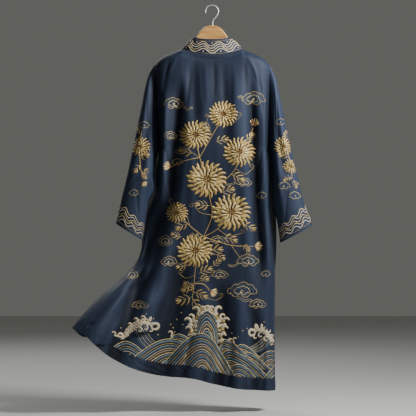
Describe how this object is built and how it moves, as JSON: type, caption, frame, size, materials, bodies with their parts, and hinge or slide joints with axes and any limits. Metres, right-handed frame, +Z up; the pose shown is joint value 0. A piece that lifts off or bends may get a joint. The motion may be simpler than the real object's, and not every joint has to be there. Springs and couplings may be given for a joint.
{
  "type": "kimono on a hanger",
  "caption": "Long navy robe of kimono cut with open cuffs, a standing collar band and an embroidered back, on a wooden hanger with a steel hook, its hem blown to one side.",
  "frame": {"origin": "under the crown of the hook, in the middle of the wire, where a rail carries it", "axes": "+Z up, the back of the robe faces -Y, +X is on the right of someone who looks at the back"},
  "size_m": [0.8786, 0.3008, 1.4158],
  "materials": {
    "navy_cloth": "matt navy silk, part of it worked in gold, cream and blue-grey thread",
    "collar_cloth": "matt navy silk band with wavy lines of gold and cream thread",
    "hanger_wood": "honey-coloured varnished wood",
    "hook_steel": "polished steel wire"
  },
  "bodies": {
    "root": {"back_outer_left_upper": "navy_cloth", "back_left_upper": "navy_cloth", "back_right_upper": "navy_cloth", "back_outer_left_middle": "navy_cloth", "back_left_middle": "navy_cloth", "back_right_middle": "navy_cloth", "back_outer_left_lower": "navy_cloth", "back_left_lower": "navy_cloth", "back_right_lower": "navy_cloth", "front_left_outer_upper": "navy_cloth", "front_left_outer_middle": "navy_cloth", "front_left_outer_lower": "navy_cloth", "front_left_inner_upper": "navy_cloth", "front_left_inner_middle": "navy_cloth", "front_left_inner_lower": "navy_cloth", "front_right_upper": "navy_cloth", "front_right_middle": "navy_cloth", "front_right_lower": "navy_cloth", "sleeve_left_back_upper": "navy_cloth", "sleeve_left_front_upper": "navy_cloth", "sleeve_left_back_lower": "navy_cloth", "sleeve_left_front_lower": "navy_cloth", "sleeve_right_back_upper": "navy_cloth", "sleeve_right_front_upper": "navy_cloth", "sleeve_right_back_lower": "navy_cloth", "sleeve_right_front_lower": "navy_cloth", "collar": "collar_cloth", "hanger_arms": "hanger_wood", "hanger_hook": "hook_steel"}
  },
  "joints": []
}
